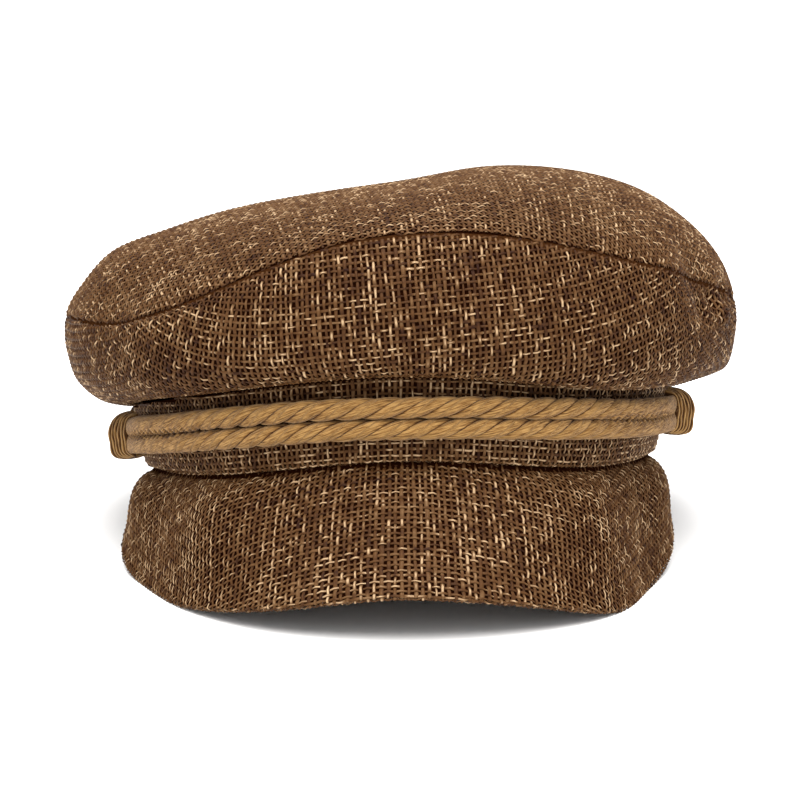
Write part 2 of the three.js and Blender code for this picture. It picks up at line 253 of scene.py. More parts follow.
def dent_list():
    """Each dent's middle, way in, spread and depth in millimetres."""
    found = []
    last = 0.999  # the highest share of the side where a dent's middle lies
    for angle, share, spread, depth in DENTS + WRINKLES:
        at = (np.array(math.radians(angle)), np.array(min(share, last)))
        inward = -normal_of(plain_side_point, *at)
        found.append((plain_side_point(*at), inward, CROWN_RISE * spread, CROWN_RISE * depth))
    return found


DENT_LIST = dent_list()


def dented(points):
    moved = points.copy()
    for middle, inward, spread, depth in DENT_LIST:
        far = np.linalg.norm(points - middle, axis=-1, keepdims=True) / spread
        moved += inward * depth * np.exp(-(far**2))
    return moved


def crown_side_point(angle, share):
    return dented(plain_side_point(angle, share))


def crown_top_point(angle, share):
    return dented(plain_top_point(angle, share))


BULGE_SCALE = 27 / 4  # makes the highest value of w * (1 - w) ** 2 one


def peak_point(u, w):
    """The peak's upper face: u from -1 at its left end to 1, w from 0 at the band to 1 at its edge."""
    u, w = np.broadcast_arrays(np.clip(u, -1, 1), w)
    angle = u * PEAK_SPAN
    row = (u + 1) / 2 * (len(PEAK_ROWS) - 1)
    foot = band_point(angle, np.zeros_like(angle))
    outward = unit(vectors(np.sin(angle) / (BAND_WIDTH / 2), -np.cos(angle) / (BAND_DEPTH / 2), 0))
    corner = np.sqrt(1 - np.abs(u) ** PEAK_END_POWER)
    depth = PEAK_DEPTH * (PEAK_LEAST + (1 - PEAK_LEAST) * corner)
    depth = (depth * smooth(PEAK_ROWS[:, 0], row))[..., None]
    slope = np.radians(smooth(PEAK_ROWS[:, 1], row))[..., None]
    fall = outward * np.cos(slope) - UP * np.sin(slope)
    face = outward * np.sin(slope) + UP * np.cos(slope)
    bulge = PEAK_BULGE * corner * smooth(PEAK_ROWS[:, 2], row)
    bulge = (bulge * BULGE_SCALE * w * (1 - w) ** 2)[..., None]
    return foot - outward * PEAK_TUCK - UP * SEAM_GAP + fall * depth * w[..., None] + face * bulge


def rope_height(angle):
    row = (np.clip(angle, -ROPE_END, ROPE_END) / ROPE_END + 1) / 2
    return BAND_HEIGHT * smooth(ROPE_MIDDLE, row * (len(ROPE_MIDDLE) - 1))


def off_band(angle, height, distance):
    share = height / (band_line(1, angle) - band_line(0, angle))
    out = normal_of(band_point, angle, np.full_like(share, 0.5))
    return band_point(angle, share) + out * np.asarray(distance)[..., None]


def lean_matrix():
    """The lean and the place of the cap, as the solids have them, from the band's own box."""
    foot = band_point(np.array(math.pi), np.array(0.0))
    us = np.linspace(-1, 1, 201)
    ones = np.ones_like(us)
    edge = peak_point(us, ones)
    low = peak_point(us, ones - STEP)
    across = peak_point(us + STEP, ones) - peak_point(us - STEP, ones)
    edge = edge + unit(np.cross(across, edge - low)) * PEAK_WALL * 0.5
    lean = np.arctan2(foot[2] - edge[:, 2], foot[1] - edge[:, 1]).max()
    turn = np.array(Matrix.Rotation(-lean, 3, "X"))
    angles = np.linspace(0, math.tau, 65)[:-1]
    shares = np.linspace(0, 1, 4)
    band = band_point(angles[:, None], shares[None]) @ turn.T
    low, high = (np.array(c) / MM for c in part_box("head_band"))
    shift = np.zeros(3)
    shift[:2] = (low + high)[:2] / 2 - (band.min((0, 1)) + band.max((0, 1)))[:2] / 2
    shift[2] = high[2] - band[..., 2].max()
    return turn, shift


TURN, SHIFT = np.eye(3), np.zeros(3)  # main sets both
FLOOR_CLEAR = 0.05  # how far over the table the lowest points stay, in millimetres
MATERIALS = {}  # main fills it


def placed(points):
    """Points of the cap's own frame, leaned and set down, in metres. Nothing goes below the table."""
    moved = points @ TURN.T + SHIFT
    moved[..., 2] = np.maximum(moved[..., 2], FLOOR_CLEAR)
    return moved * MM


# The woven cloth

# Between neighbouring yarns across and down each panel, in millimetres.
SIDE_PITCH = (1.82, 2.04)
TOP_PITCH = (1.82, 1.9)
BAND_PITCH = (1.82, 1.95)
PEAK_PITCH = (1.82, 1.87)
# For each panel, the share of its crossings where a run of pale straw begins, and its other straw's tone,
# which differs between panels partly as painted shade and light: lowest on the crown's front, highest on its
# top.
STRAWS = {
    "band": (0.3, 0.31),
    "side_front": (0.2, 0.275),
    "side_back": (0.2, 0.3),
    "top": (0.2, 0.325),
    "peak": (0.27, 0.31),
}
# How much tones differ between crossings, yarns and patches.
TONE_PLACE, TONE_YARN, TONE_PATCH = 0.085, 0.05, 0.1
PALE_TONES = (0.52, 0.95)
PALE_FROM = 0.6  # two neighbours paler than this look like one float
PALE_MORE = 0.45  # crossings in a pale run after its first, on average
KEEN = (3.0, 0.33)  # shape and scale of the yarns' shares of pale runs
PATCH_LEAST, PATCH_REST = 0.5, 1.6  # the least and the rest of a patch's pale runs
PATCH_SIZE, TONE_PATCH_SIZE = 6, 9  # in crossings

# A yarn's form in millimetres, unless a share is named.
WARP_WIDTH = 1.0
WEFT_WIDTH = 0.8
YARN_THICK = 0.42
YARN_EDGE = 0.75  # how far its edges lie under its middle, as a share of that
YARN_TOP = -0.4  # from the solid's surface out to the cloth's middle
SWING, SWING_UNEVEN = 0.33, 0.05  # how far it goes over and under the cloth's middle
# Its wander to the sides, its uneven width as shares, and how fast the waves of both run, in radians
# for half a pitch.
WANDER_LONG, WANDER_SHORT, WANDER_OWN = 0.1, 0.07, 0.16
WIDTH_WAVES, WIDTH_OWN, WIDTH_PLACE = 0.16, 0.3, 0.16
LONG_WAVE, SHORT_WAVE, WIDTH_WAVE = 0.21, 0.67, 0.33
PHASES = 6.28  # about a whole turn
NEIGHBOUR = 1.6  # pitches over which two places are joined, at most
RUN_APART, ACROSS_APART = 37.7, 7  # make each yarn's streaks its own

TUCK = 0.4  # how far the cloth sinks along a sewn edge
SEWN_REACH = 0.6  # how far from the edge this is felt
SEWN_PAINTED_SHADE = 0.6  # how much painted shade darkens the cloth along a sewn edge, as a share
BACKING = 1.15  # depth of the dark lining under the yarns
FOLD_LIFT = 1.0  # how far the band's lower fold clears the peak, as a share of its radius
FOLD_JOIN = 0.3  # how far under the fold's end the outer cloth may begin
FOLD_INSIDE = (3.0, 2.2, 1.5, 0.7)  # heights of the rows inside the fold
# The turn of the top's cloth, and that of the back's and the peak's for each radian round the cap.
TOP_TURN = math.radians(6.5)
BACK_TURN = 0.3
PEAK_TURN = 0.3
PEAK_BOW = 0.0018  # how much the peak's yarns across bow down, per millimetre
PEAK_SIDES = 0.3  # how much finer and flatter its yarns lie towards its ends
PEAK_SIDES_AT = (30, 75)  # where this begins and ends, from the middle
PEAK_END = 0.08  # how far from its very ends the peak's cloth stops
PEAK_ALLOWANCE = (3.6, 3.0, 2.4, 1.8, 1.2, 0.6)  # heights of its seam allowance's rows
RIM_BACK = 0.4  # how far the round of its edge lies back
GRID_STEP = 0.62  # between the points of a panel's grid


class Panel:
    """A piece of cloth: points on a fine grid, and where each lies on the flat cloth it was cut from.

    outward is 1 or -1, for the side that shows. edges holds how far each point is from a sewn edge."""

    def __init__(self, points, flat, outward, edges, pitch):
        self.pitch = np.array(pitch)
        self.points = points
        self.flat = flat
        du = np.gradient(points, axis=0)
        dv = np.gradient(points, axis=1)
        normal = unit(np.cross(du, dv))
        self.normal = normal * outward
        self.edges = edges


def lengths_up(points):
    """How far each point of a grid is along its column from the first."""
    steps = np.linalg.norm(np.diff(points, axis=1), axis=-1)
    return np.concatenate([np.zeros((len(points), 1)), np.cumsum(steps, 1)], 1)


def strip_flat(points, base, turn):
    """The flat cloth of a strip, from its middle line, column number base, and the cloth's turn along it."""
    line = points[:, base]
    step = np.linalg.norm(np.diff(line, axis=0), axis=-1)
    turn = np.broadcast_to(turn, len(line))
    mid = (turn[1:] + turn[:-1]) / 2
    x = np.concatenate([[0], np.cumsum(step * np.cos(mid))])
    y = np.concatenate([[0], np.cumsum(step * np.sin(mid))])
    centre = len(line) // 2
    x, y = x - x[centre], y - y[centre]
    up = lengths_up(points)
    h = up - up[:, base : base + 1]
    sine, cosine = np.sin(turn)[:, None], np.cos(turn)[:, None]
    return np.stack([x[:, None] - h * sine, y[:, None] + h * cosine], -1)


FLAT_CELL = 1e-9  # the least area of a cell
BORDER = 1e-6  # how far outside a cell a crossing still counts


def crossings(panel, pitch):
    """Where the lines of a lattice on the flat cloth cross, as places on the panel.

    Returns the two line numbers, the point, the outward normal and the two directions along the cloth."""
    f = panel.flat / pitch
    corners = [f[:-1, :-1], f[1:, :-1], f[1:, 1:], f[:-1, 1:]]
    low = np.min(corners, axis=0)
    high = np.max(corners, axis=0)
    target = np.ceil(low)
    i, j = np.nonzero((target <= high).all(-1))
    target = target[i, j]
    q = [c[i, j] for c in corners]
    # From each cell's middle, a few steps lead to where its two lines cross.
    u = np.full(len(i), 0.5)
    v = np.full(len(i), 0.5)
    for _ in range(5):
        u_, v_ = u[:, None], v[:, None]
        fu = mix(q[1] - q[0], q[2] - q[3], v_)
        fv = mix(q[3] - q[0], q[2] - q[1], u_)
        det = fu[:, 0] * fv[:, 1] - fu[:, 1] * fv[:, 0]
        det = np.where(np.abs(det) < FLAT_CELL, FLAT_CELL, det)
        miss = target - mix(mix(q[0], q[1], u_), mix(q[3], q[2], u_), v_)
        u = u + (miss[:, 0] * fv[:, 1] - miss[:, 1] * fv[:, 0]) / det
        v = v + (fu[:, 0] * miss[:, 1] - fu[:, 1] * miss[:, 0]) / det
        u, v = u.clip(-2, 3), v.clip(-2, 3)
    good = (u > -BORDER) & (u < 1 + BORDER) & (v > -BORDER) & (v < 1 + BORDER)
    found = [values[good] for values in (i, j, u, v, target.astype(int), fu, fv, det)]
    # A crossing on the border of two cells counts once.
    _, first = np.unique(found[4], axis=0, return_index=True)
    i, j, u, v, target, fu, fv, det = (values[first] for values in found)
    det = det[:, None]

    def at(grid):
        u_, v_ = (u, v) if grid.ndim == 2 else (u[:, None], v[:, None])
        near = mix(grid[i, j], grid[i + 1, j], u_)
        return mix(near, mix(grid[i, j + 1], grid[i + 1, j + 1], u_), v_)

    p = panel.points
    pu = mix(p[i + 1, j] - p[i, j], p[i + 1, j + 1] - p[i, j + 1], v[:, None])
    pv = mix(p[i, j + 1] - p[i, j], p[i + 1, j + 1] - p[i + 1, j], u[:, None])
    # The directions on the surface of one millimetre along each of the cloth's two lines.
    along_x = (pu * fv[:, 1:] - pv * fu[:, 1:]) / det / pitch[0]
    along_y = (pv * fu[:, :1] - pu * fv[:, :1]) / det / pitch[1]
    return {
        "line": target,
        "point": at(p),
        "normal": unit(at(panel.normal)),
        "x": along_x,
        "y": along_y,
        "edge": at(panel.edges),
    }


def hashed(seed, *numbers):
    """The same random share from 0 to 1 for the same numbers."""
    for_seed, first, further, spread = 12.9898, 78.233, 37.719, 43758.5453  # no pattern shows with these
    total = np.full(np.broadcast(*numbers).shape, float(seed) * for_seed)
    for k, number in enumerate(numbers):
        total = total + np.asarray(number, float) * (first + further * k)
    return np.modf(np.abs(np.sin(total) * spread))[0]


def soft_noise(rng, rows, columns, size):
    """Random values from 0 to 1 that change slowly over a table, size cells from one peak to the next."""
    coarse = rng.random((int(rows / size) + 3, int(columns / size) + 3))
    y = np.arange(rows) / size
    x = np.arange(columns) / size
    i, j = y.astype(int), x.astype(int)
    fy, fx = (y - i)[:, None], (x - j)[None]
    fy, fx = eased(fy), eased(fx)
    a, b = coarse[i][:, j], coarse[i][:, j + 1]
    c, d = coarse[i + 1][:, j], coarse[i + 1][:, j + 1]
    return mix(mix(a, b, fx), mix(c, d, fx), fy)


def run_tones(rng, lines, count, share, common):
    """For each yarn, its colour at each crossing: 0 is dark, near 1 is pale straw in short runs."""
    tone = rng.normal(common, TONE_PLACE, (lines, count)) + rng.normal(0, TONE_YARN, (lines, 1))
    tone += TONE_PATCH * (soft_noise(rng, lines, count, TONE_PATCH_SIZE) - 0.5)
    keen = rng.gamma(*KEEN, (lines, 1)) * share
    keen = keen * (PATCH_LEAST + PATCH_REST * soft_noise(rng, lines, count, PATCH_SIZE) ** 2)
    starts = rng.random((lines, count)) < keen
    for line, place in zip(*np.nonzero(starts)):
        length = 1 + int(rng.exponential(PALE_MORE))
        tone[line, place : place + length] = rng.uniform(*PALE_TONES)
    return tone.clip(0.02, 1)


def yarns(name, panel, direction, width, node, seed, straws):
    """All the yarns of one direction as one mesh: ribbons with a raised middle that go over and under."""
    rng = np.random.default_rng(seed)
    c = crossings(panel, panel.pitch / 2)
    line = c["line"]
    low = line.min(0)
    grid = np.full(tuple(line.max(0) - low + 2), -1)
    own, other = (0, 1) if direction == "warp" else (1, 0)
    pitch = panel.pitch[other]
    keep = line[:, own] % 2 == 0
    line = line[keep]
    c = {k: v[keep] for k, v in c.items() if k != "line"}
    grid[line[:, 0] - low[0], line[:, 1] - low[1]] = np.arange(len(line))
    side = c["x"] if direction == "warp" else c["y"]
    yarn = line[:, own] // 2
    half = line[:, other]
    over = np.where((yarn + half // 2) % 2 == 0, 1, -1)
    if direction == "weft":
        over = -over
    rise = np.where(half % 2 == 0, over, 0) * SWING
    # Slow wander, and thick and thin places.
    phase = hashed(seed, yarn) * PHASES
    wander = WANDER_LONG * np.sin(half * LONG_WAVE + phase)
    wander += WANDER_SHORT * np.sin(half * SHORT_WAVE + phase * 3)
    wander += WANDER_OWN * (hashed(seed + 5, yarn) - 0.5)
    thick = 1 + WIDTH_WAVES * np.sin(half * WIDTH_WAVE + phase * 2)
    thick += WIDTH_OWN * (hashed(seed + 1, yarn) - 0.5)
    thick += WIDTH_PLACE * (hashed(seed + 2, yarn, half) - 0.5)
    if node == "peak":
        finer = 1 - PEAK_SIDES * fade(np.abs(c["point"][:, 0]), *PEAK_SIDES_AT)
        thick = thick * finer
        rise = rise * finer
    w = (width * thick)[:, None] / 2
    sewn = np.exp(-((c["edge"] / SEWN_REACH) ** 2))
    rise = rise - TUCK * sewn + SWING_UNEVEN * (hashed(seed + 3, yarn, half) - 0.5)
    middle = c["point"] + side * wander[:, None]
    normal = c["normal"]
    drop = YARN_THICK * YARN_EDGE
    centre = middle + normal * (rise + YARN_TOP)[:, None]
    lower = normal * (rise + YARN_TOP - drop)[:, None]
    left = middle - side * w + lower
    right = middle + side * w + lower
    verts = np.stack([left, centre, right], 1).reshape(-1, 3)
    # Segments between neighbours along the yarn.
    gx, gy = line[:, 0] - low[0], line[:, 1] - low[1]
    step = (0, 1) if direction == "warp" else (1, 0)
    follow = grid[gx + step[0], gy + step[1]]
    a = np.nonzero(follow >= 0)[0]
    b = follow[a]
    # A place where the cloth folds back on itself is no neighbour.
    near = np.linalg.norm(c["point"][a] - c["point"][b], axis=-1) < pitch * NEIGHBOUR
    a, b = a[near] * 3, b[near] * 3
    faces = np.concatenate([np.stack([a + k, b + k, b + k + 1, a + k + 1], 1) for k in (0, 1)])
    # Every face looks outwards.
    v = verts[faces]
    facing = np.cross(v[:, 1] - v[:, 0], v[:, 3] - v[:, 0])
    flip = (facing * np.repeat(normal, 3, 0)[faces[:, 0]]).sum(-1) < 0
    faces[flip] = faces[flip][:, ::-1]
    lines = yarn - yarn.min()
    places = half // 2 - (half // 2).min()
    tones = run_tones(rng, lines.max() + 1, places.max() + 2, *straws)
    tone = tones[lines, places]
    joined = np.maximum(tone, tones[lines, places + 1])
    both = np.minimum(tone, tones[lines, places + 1])
    tone = np.where(half % 2 == 0, tone, np.where(both > PALE_FROM, both, (joined + both) / 2))
    # Painted shade along sewn edges: at the crown's seams, at the band's top under the crown, and at the
    # peak's root under the band.
    tone = tone * (1 - SEWN_PAINTED_SHADE * sewn)
    ob = mesh_object(name, placed(verts), faces)
    attribute(ob, "tone", np.repeat(tone, 3))
    attribute(ob, "run", np.repeat(half * pitch / 2 + yarn * RUN_APART, 3))
    attribute(ob, "across", np.tile([-1.0, 0.0, 1.0], len(line)) + ACROSS_APART * np.repeat(yarn, 3))
    attribute(ob, "side", np.tile([1.0, 0.0, 1.0], len(line)))
    finish_piece(ob, MATERIALS["straw"], node)


def new_object(name, data):
    ob = bpy.data.objects.new(name, data)
    bpy.context.scene.collection.objects.link(ob)
    return ob


def mesh_object(name, verts, faces, smooth_shade=True):
    mesh = bpy.data.meshes.new(name)
    verts = np.ascontiguousarray(verts, np.float32)
    faces = np.ascontiguousarray(faces, np.int32)
    sides = faces.shape[1]
    mesh.vertices.add(len(verts))
    mesh.vertices.foreach_set("co", verts.ravel())
    mesh.loops.add(faces.size)
    mesh.loops.foreach_set("vertex_index", faces.ravel())
    mesh.polygons.add(len(faces))
    mesh.polygons.foreach_set("loop_start", np.arange(0, faces.size, sides, dtype=np.int32))
    mesh.polygons.foreach_set("use_smooth", np.full(len(faces), smooth_shade))
    mesh.update(calc_edges=True)
    return new_object(name, mesh)


def attribute(ob, name, values):
    layer = ob.data.attributes.new(name, "FLOAT", "POINT")
    layer.data.foreach_set("value", np.ascontiguousarray(values, np.float32))


def finish_piece(ob, material, node):
    ob.data.materials.append(material)
    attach(ob, "root")
    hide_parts(node)


def grid_faces(rows, columns):
    """Quads of a grid of points."""
    a = (np.arange(rows - 1)[:, None] * columns + np.arange(columns - 1)[None]).reshape(-1)
    return np.stack([a, a + columns, a + columns + 1, a + 1], 1)


def shell(name, panel, node, outer, inner, material, slot, every=(4, 4), part=slice(None)):
    """A closed wall under the woven yarns, between two depths below part of the panel's surface."""
    columns = np.arange(panel.points.shape[1])[part]
    pick = [
        np.unique(np.concatenate([places[:: every[k]], places[-1:]]))
        for k, places in enumerate((np.arange(len(panel.points)), columns))
    ]
    p = panel.points[np.ix_(*pick)]
    n = panel.normal[np.ix_(*pick)]
    rows, columns = p.shape[:2]
    verts = np.concatenate([(p - n * outer).reshape(-1, 3), (p - n * inner).reshape(-1, 3)])
    size = rows * columns
    top = grid_faces(rows, columns)
    rims = []
    for j in (0, columns - 1):
        a = np.arange(rows - 1) * columns + j
        rims.append(np.stack([a, a + columns, a + columns + size, a + size], 1))
    for i in (0, rows - 1):
        a = i * columns + np.arange(columns - 1)
        rims.append(np.stack([a, a + 1, a + 1 + size, a + size], 1))
    faces = np.concatenate([top, top[:, ::-1] + size, *rims])
    ob = mesh_object(name, placed(verts), faces)
    finish_piece(ob, material, node)


def columns_between(low, high, length, step=GRID_STEP):
    """Angles from low to high, about step millimetres apart on a line of that length."""
    return np.linspace(low, high, int(length / step) + 2)


def edge_far(points):
    """How far each point is from its column's last one, in millimetres."""
    up = lengths_up(points)
    return up[:, -1:] - up


def band_panel():
    angles = columns_between(-math.pi, math.pi, 600)
    shares = np.linspace(0.0, 1, 44)
    outer = band_point(angles[:, None], shares[None])
    # The foot's fold: half a turn round the wall's edge and a little way up inside.
    inward = -unit(normal_of(band_point, angles, np.zeros_like(angles)) * np.array([1, 1, 0]))
    radius = BAND_WALL / 2
    turns = np.linspace(math.pi, 0.35, 9)
    foot = band_point(angles, np.zeros_like(angles))
    fold = [
        foot + inward * radius * (1 - math.cos(t)) + UP * (radius * (FOLD_LIFT - math.sin(t)))
        for t in turns
    ]
    inside = [fold[0] + UP * h for h in FOLD_INSIDE]
    below = np.stack(inside + fold, 1)
    keep = shares * BAND_HEIGHT > radius * FOLD_LIFT - FOLD_JOIN
    points = np.concatenate([below, outer[:, keep]], 1)
    flat = strip_flat(points, points.shape[1] // 2, 0.0)
    return Panel(points, flat, 1, edge_far(points), BAND_PITCH), slice(below.shape[1], None)


def grain(angle):
    """How far the crown side's cloth is turned at each angle from the front, in radians."""
    turns = np.interp(
        np.degrees(angle),
        [-110, -75, -56, -45, -37, -30, -24, -16, 0, 16, 25, 36, 43, 53, 61, 75, 110],
        [-64, -50, -39, -31, -24, -15, -7, -1, 5, 10, 14, 21, 23, 24, 30, 38, 50],
    )
    reach = 20  # columns to each side that the turn is evened out over
    kernel = np.hanning(2 * reach + 1)
    padded = np.pad(turns, reach, mode="edge")
    return -np.radians(np.convolve(padded, kernel / kernel.sum(), "valid"))


def back_grain(angle):
    return -BACK_TURN * (angle - math.pi)


def side_panel(low, high, turn):
    angles = columns_between(low, high, CROWN_WIDTH / 2 * (high - low))
    shares = np.linspace(0, 1, 150)
    points = crown_side_point(angles[:, None], shares[None])
    middle = 90
    flat = strip_flat(points, middle, turn(angles))
    far = np.minimum(edge_far(points), lengths_up(points))
    gap = CROWN_WIDTH / 2 * np.minimum(angles - low, high - angles)
    return Panel(points, flat, 1, np.minimum(far, gap[:, None]), SIDE_PITCH)


def top_panel():
    angles = columns_between(0, math.tau, 720)
    shares = np.sin(np.linspace(0.004, math.pi / 2, 220))
    points = crown_top_point(angles[:, None], shares[None])
    points[..., 2] += SEAM_GAP
    up = lengths_up(points) + np.linalg.norm(points[:, 0, :2], axis=-1)[:, None]
    turned = np.arctan2(points[..., 0], -points[..., 1]) - TOP_TURN
    # No two yarns cross right at the panel's middle, where its grid has a small hole.
    flat = np.stack([up * np.sin(turned), -up * np.cos(turned)], -1) + np.array(TOP_PITCH) / 4
    return Panel(points, flat, -1, edge_far(points), TOP_PITCH)


def peak_panel():
    end = math.pi / 2 - PEAK_END
    us = np.sin(np.linspace(-end, end, 760))
    ws = np.linspace(0, 1, 90)
    upper = peak_point(us[:, None], ws[None])
    down = normal_of(peak_point, us[:, None], ws[None])
    # Round the edge and back along the under side.
    radius = PEAK_WALL / 2
    out = unit(upper[:, -1] - upper[:, -2])
    centre = upper[:, -1] + down[:, -1] * radius
    rim = [
        centre + (out * math.sin(t) - down[:, -1] * math.cos(t)) * radius - out * RIM_BACK
        for t in np.linspace(0.15, math.pi, 9)
    ]
    below = (upper + down * PEAK_WALL)[:, ::-1][:, 1:]
    keep = ws < 0.99
    # The seam allowance stands up inside the band.
    allowance = [upper[:, 0] + UP * h for h in PEAK_ALLOWANCE]
    points = np.concatenate([np.stack(allowance, 1), upper[:, keep], np.stack(rim, 1), below], 1)
    angles = us * PEAK_SPAN
    flat = strip_flat(points, len(allowance), -PEAK_TURN * angles)
    flat[..., 1] *= -1
    # Cloth pulled on the bias over the board bows its yarns across downwards to the ends; with PEAK_BOW at 0
    # they stay straight here.
    flat[..., 1] += PEAK_BOW * flat[..., 0] ** 2
    board = slice(0, len(allowance) + keep.sum())
    up = lengths_up(points)
    far = np.maximum(up - up[:, len(allowance), None], 0)
    return Panel(points, flat, -1, far, PEAK_PITCH), board


def cloth_panel(name, panel, node, seed, wall=CROWN_WALL, part=slice(None)):
    yarns(name + "_warp", panel, "warp", WARP_WIDTH, node, seed, STRAWS[name])
    yarns(name + "_weft", panel, "weft", WEFT_WIDTH, node, seed + 50, STRAWS[name])
    shell(name + "_lining", panel, node, BACKING, wall, MATERIALS["lining"], "straw_cloth", part=part)


def seam_allowance(name, node):
    """The allowances of side and top lie pressed open behind their seam, and close it from within."""
    angles = columns_between(0, math.tau, 500, 2)
    rows = [crown_side_point(angles, np.full_like(angles, share)) for share in (0.965, 0.983, 1.0)]
    rows += [crown_top_point(angles, np.full_like(angles, share)) for share in (0.986, 0.972)]
    points = np.stack(rows, 1)
    # A shell needs only a panel's points and normals.
    panel = Panel(points, points[..., :2], 1, points[..., 0], TOP_PITCH)
    outer, inner = 0.95, 1.13
    shell(name, panel, node, outer, inner, MATERIALS["seam"], "straw_cloth", every=(1, 1))


# Materials


def new_material(name):
    mat = bpy.data.materials.new(name)
    mat.use_nodes = True
    tree = mat.node_tree
    return mat, tree, tree.nodes["Principled BSDF"]


def add_node(tree, kind, **settings):
    made = tree.nodes.new(kind)
    for key, value in settings.items():
        setattr(made, key, value)
    return made


def set_inputs(made, values):
    for name, value in values.items():
        made.inputs[name].default_value = value


def stored(tree, name):
    """The value that a mesh stores under a name."""
    return add_node(tree, "ShaderNodeAttribute", attribute_name=name).outputs["Fac"]


def ramp(tree, source, stops):
    made = add_node(tree, "ShaderNodeValToRGB")
    elements = made.color_ramp.elements
    while len(elements) < len(stops):
        elements.new(0.5)
    for element, (place, colour) in zip(elements, stops):
        element.position = place
        element.color = (*colour, 1)
    tree.links.new(source, made.inputs["Fac"])
    return made.outputs["Color"]


def maths(tree, operation, a, b):
    made = add_node(tree, "ShaderNodeMath", operation=operation)
    for socket, value in zip(made.inputs, (a, b)):
        if isinstance(value, (int, float)):
            socket.default_value = value
        else:
            tree.links.new(value, socket)
    return made.outputs[0]


def sums(tree):
    """Short names for adding, taking away and multiplying in a shader."""
    return [partial(maths, tree, kind) for kind in ("ADD", "SUBTRACT", "MULTIPLY")]


def noise_at(tree, place, scale, detail):
    made = add_node(tree, "ShaderNodeTexNoise")
    set_inputs(made, {"Scale": scale, "Detail": detail})
    tree.links.new(place, made.inputs["Vector"])
    return made


def drawn_out(tree, run, along, across, thick):
    """A place in noise that is drawn out along a yarn. along and thick are how fast the noise changes."""
    place = add_node(tree, "ShaderNodeCombineXYZ")
    tree.links.new(maths(tree, "MULTIPLY", run, along), place.inputs[0])
    tree.links.new(maths(tree, "MULTIPLY", across, thick), place.inputs[1])
    return place.outputs[0]


def add_bump(tree, shader, height, strength, distance):
    bump = add_node(tree, "ShaderNodeBump")
    set_inputs(bump, {"Strength": strength, "Distance": distance})
    tree.links.new(height, bump.inputs["Height"])
    tree.links.new(bump.outputs["Normal"], shader.inputs["Normal"])


# How fast a straw's streaks change along and across it, and how much they change its tone.
STREAK_ALONG, STREAK_ACROSS, STREAK_TONE = 0.4, 1.9, 0.34
# A pale float is a splinter down the yarn's middle: the tone from which it is one, its share of the
# yarn's width, how ragged its sides are and how dark they turn.
SPLINTER_FROM, SPLINTER_WIDTH, SPLINTER_RAGGED, SPLINTER_CUT = 0.45, 0.42, 0.8, 3.6
SIDE_DARK = 0.1  # how much darker a yarn's edges are
STRAW_TONES = [
    (0.0, (0.016, 0.0036, 0.0007)),
    (0.28, (0.069, 0.029, 0.0088)),
    (0.5, (0.127, 0.068, 0.029)),
    (0.7, (0.305, 0.2, 0.113)),
    (1.0, (0.44, 0.307, 0.172)),
]


def straw_material():
    mat, tree, shader = new_material("straw_yarn")
    plus, minus, times = sums(tree)
    tone, run, across, side = (stored(tree, name) for name in ("tone", "run", "across", "side"))
    place = drawn_out(tree, run, STREAK_ALONG, across, STREAK_ACROSS)
    streak = noise_at(tree, place, 1.0, 3).outputs["Fac"]
    streaks = minus(streak, 0.5)
    pale = maths(tree, "MAXIMUM", minus(tone, SPLINTER_FROM), 0.0)
    ragged = plus(side, times(streaks, SPLINTER_RAGGED))
    beside = maths(tree, "MAXIMUM", minus(ragged, SPLINTER_WIDTH), 0.0)
    cut = times(beside, times(pale, SPLINTER_CUT))
    mixed = minus(tone, cut)
    mixed = minus(mixed, times(side, SIDE_DARK))
    mixed = plus(mixed, times(streaks, STREAK_TONE))
    tree.links.new(ramp(tree, mixed, STRAW_TONES), shader.inputs["Base Color"])
    set_inputs(shader, {"Roughness": 0.55, "Specular IOR Level": 0.08})
    add_bump(tree, shader, streak, 0.6, 0.0002)
    return mat


def plain_material(name, colour, roughness, scale, amount):
    mat, tree, shader = new_material(name)
    coords = add_node(tree, "ShaderNodeTexCoord")
    noise = noise_at(tree, coords.outputs["Object"], scale, 4).outputs["Fac"]
    dark = tuple(c * 0.7 for c in colour)
    light = tuple(c * 1.3 for c in colour)
    tree.links.new(ramp(tree, noise, [(0.3, dark), (0.7, light)]), shader.inputs["Base Color"])
    set_inputs(shader, {"Roughness": roughness, "Specular IOR Level": 0.0})
    add_bump(tree, shader, noise, amount, 0.0003)
    return mat


# How fast the fine and the broad fibres of the cotton change along and across a strand.
FINE_FIBRES = (0.3, 4.0)
BROAD_FIBRES = (0.1, 1.5)
FIBRE_CONTRAST = 2.1
# How strongly painted shade in grooves and painted highlight on ridges change the cotton's tone.
SHADE_AND_HIGHLIGHT_STRENGTH = 0.42
COTTON_TONES = [
    (0.1, (0.035, 0.012, 0.002)),
    (0.36, (0.108, 0.048, 0.0102)),
    (0.48, (0.2, 0.1, 0.028)),
    (0.62, (0.3, 0.172, 0.057)),
]


def cotton_material():
    mat, tree, shader = new_material("cotton_cord")
    plus, minus, times = sums(tree)
    run, across, shade_and_highlight = (stored(tree, name) for name in ("run", "across", "shade_and_highlight"))

    def fibres(along, thick, detail):
        noise = noise_at(tree, drawn_out(tree, run, along, across, thick), 1.0, detail)
        set_inputs(noise, {"Roughness": 0.6})
        return times(noise.outputs["Fac"], 0.5)

    height = plus(fibres(*FINE_FIBRES, 1), fibres(*BROAD_FIBRES, 2))
    strong = times(minus(height, 0.5), FIBRE_CONTRAST)
    strong = plus(strong, 0.5)
    # Painted shade in the grooves of rope and keepers, and painted highlight on the keepers' ridges, taken
    # off the fibre tone.
    mixed = minus(strong, times(shade_and_highlight, SHADE_AND_HIGHLIGHT_STRENGTH))
    tree.links.new(ramp(tree, mixed, COTTON_TONES), shader.inputs["Base Color"])
    set_inputs(shader, {"Roughness": 0.85, "Specular IOR Level": 0.12})
    set_inputs(shader, {"Sheen Weight": 0.08, "Sheen Roughness": 0.5})
    add_bump(tree, shader, height, 0.9, 0.0005)
    return mat


# Rope and keepers

